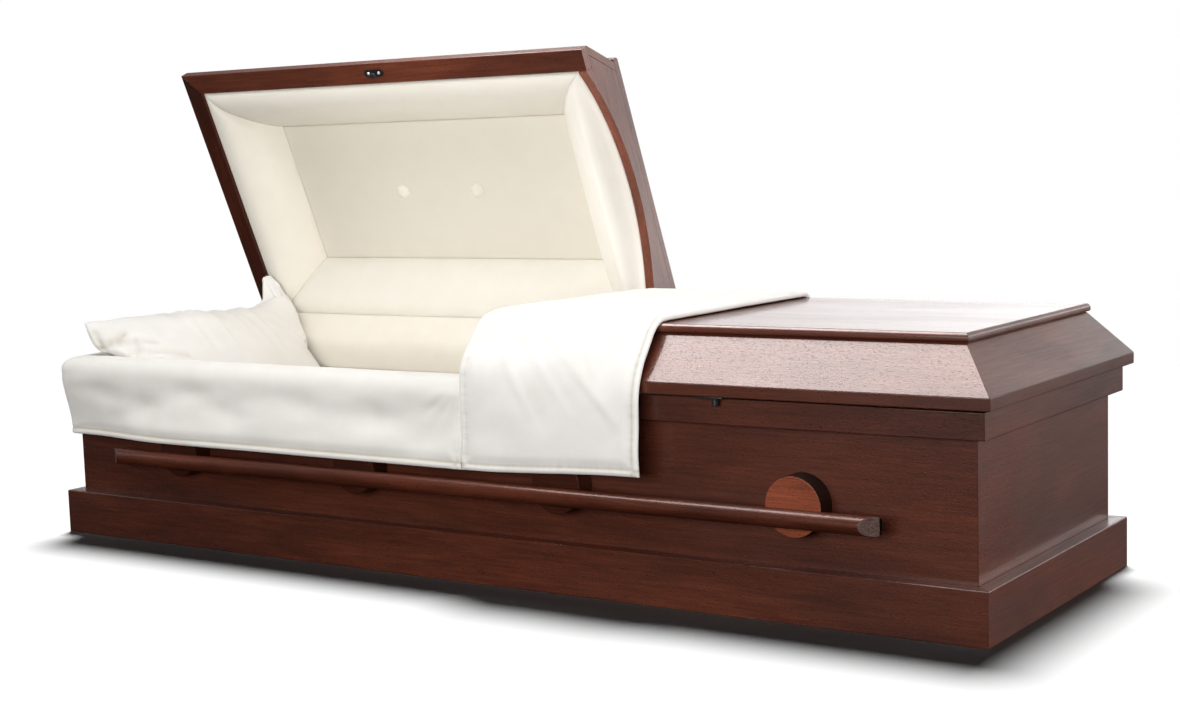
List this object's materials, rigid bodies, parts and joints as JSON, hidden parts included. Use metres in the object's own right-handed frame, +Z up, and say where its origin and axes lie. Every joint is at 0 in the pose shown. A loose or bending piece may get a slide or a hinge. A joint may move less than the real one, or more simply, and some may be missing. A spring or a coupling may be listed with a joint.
{
  "type": "wooden coffin",
  "caption": "Half-couch hardwood casket on a plinth with bar handles, quilted bedding and a hinged two-part lid.",
  "frame": {"origin": "centre of the plinth's underside", "axes": "+Z up, +X from the head end to the foot end, -Y the front side; the lids hinge along the rear side at +Y"},
  "size_m": [2.098, 0.7755, 0.9794],
  "materials": {
    "wood": "red-brown mahogany stain under semi-gloss lacquer",
    "lining": "cream crepe, puffed over padding",
    "bedding": "ivory woven cloth with a soft nap",
    "hardware": "satin black",
    "hinge": "dull plated steel"
  },
  "bodies": {
    "root": {"floor_board": "wood", "plinth_front": "wood", "plinth_rear": "wood", "plinth_head": "wood", "plinth_foot": "wood", "wall_front": "wood", "wall_rear": "wood", "wall_head": "wood", "wall_foot": "wood", "rim_front": "wood", "rim_rear": "wood", "rim_head": "wood", "rim_foot": "wood", "wall_lining": "lining", "mattress": "bedding", "pillow": "bedding", "apron": "bedding", "hinge_cover": "lining", "handle_block_front_1": "wood", "handle_block_front_2": "wood", "handle_block_front_3": "wood", "handle_block_front_4": "wood", "handle_block_rear_1": "wood", "handle_block_rear_2": "wood", "handle_block_rear_3": "wood", "handle_block_rear_4": "wood", "handle_bar_front": "wood", "handle_bar_rear": "wood", "head_lid_hinge_box_leaf": "hinge", "foot_lid_hinge_box_leaf": "hinge"},
    "head_lid": {"head_lid_rail_front": "wood", "head_lid_rail_rear": "wood", "head_lid_rail_head": "wood", "head_lid_slope_front": "wood", "head_lid_slope_rear": "wood", "head_lid_slope_head": "wood", "head_lid_top": "wood", "head_lid_end_board": "wood", "lining_roll_front": "lining", "lining_roll_rear": "lining", "lining_roll_head": "lining", "lining_roll_split": "lining", "lining_panel": "lining", "lining_button_1": "lining", "lining_button_2": "lining", "strike_plate": "hardware", "head_lid_hinge_lid_leaf": "hinge"},
    "foot_lid": {"foot_lid_rail_front": "wood", "foot_lid_rail_rear": "wood", "foot_lid_rail_foot": "wood", "foot_lid_slope_front": "wood", "foot_lid_slope_rear": "wood", "foot_lid_slope_foot": "wood", "foot_lid_top": "wood", "foot_lid_end_board": "wood", "foot_lid_lining": "lining", "foot_lid_latch": "hardware", "throw": "bedding", "foot_lid_hinge_lid_leaf": "hinge"}
  },
  "joints": [
    {"name": "head_lid_hinge", "type": "hinge", "parent": "root", "child": "head_lid", "pos_m": [0, 0.326, 0.36], "axis": [-1, 0, 0], "range_deg": [-67.2, 0], "deforming": ["pillow", "apron", "hinge_cover"]},
    {"name": "foot_lid_hinge", "type": "hinge", "parent": "root", "child": "foot_lid", "pos_m": [0, 0.326, 0.36], "axis": [-1, 0, 0], "range_deg": [0, 67.2]}
  ]
}
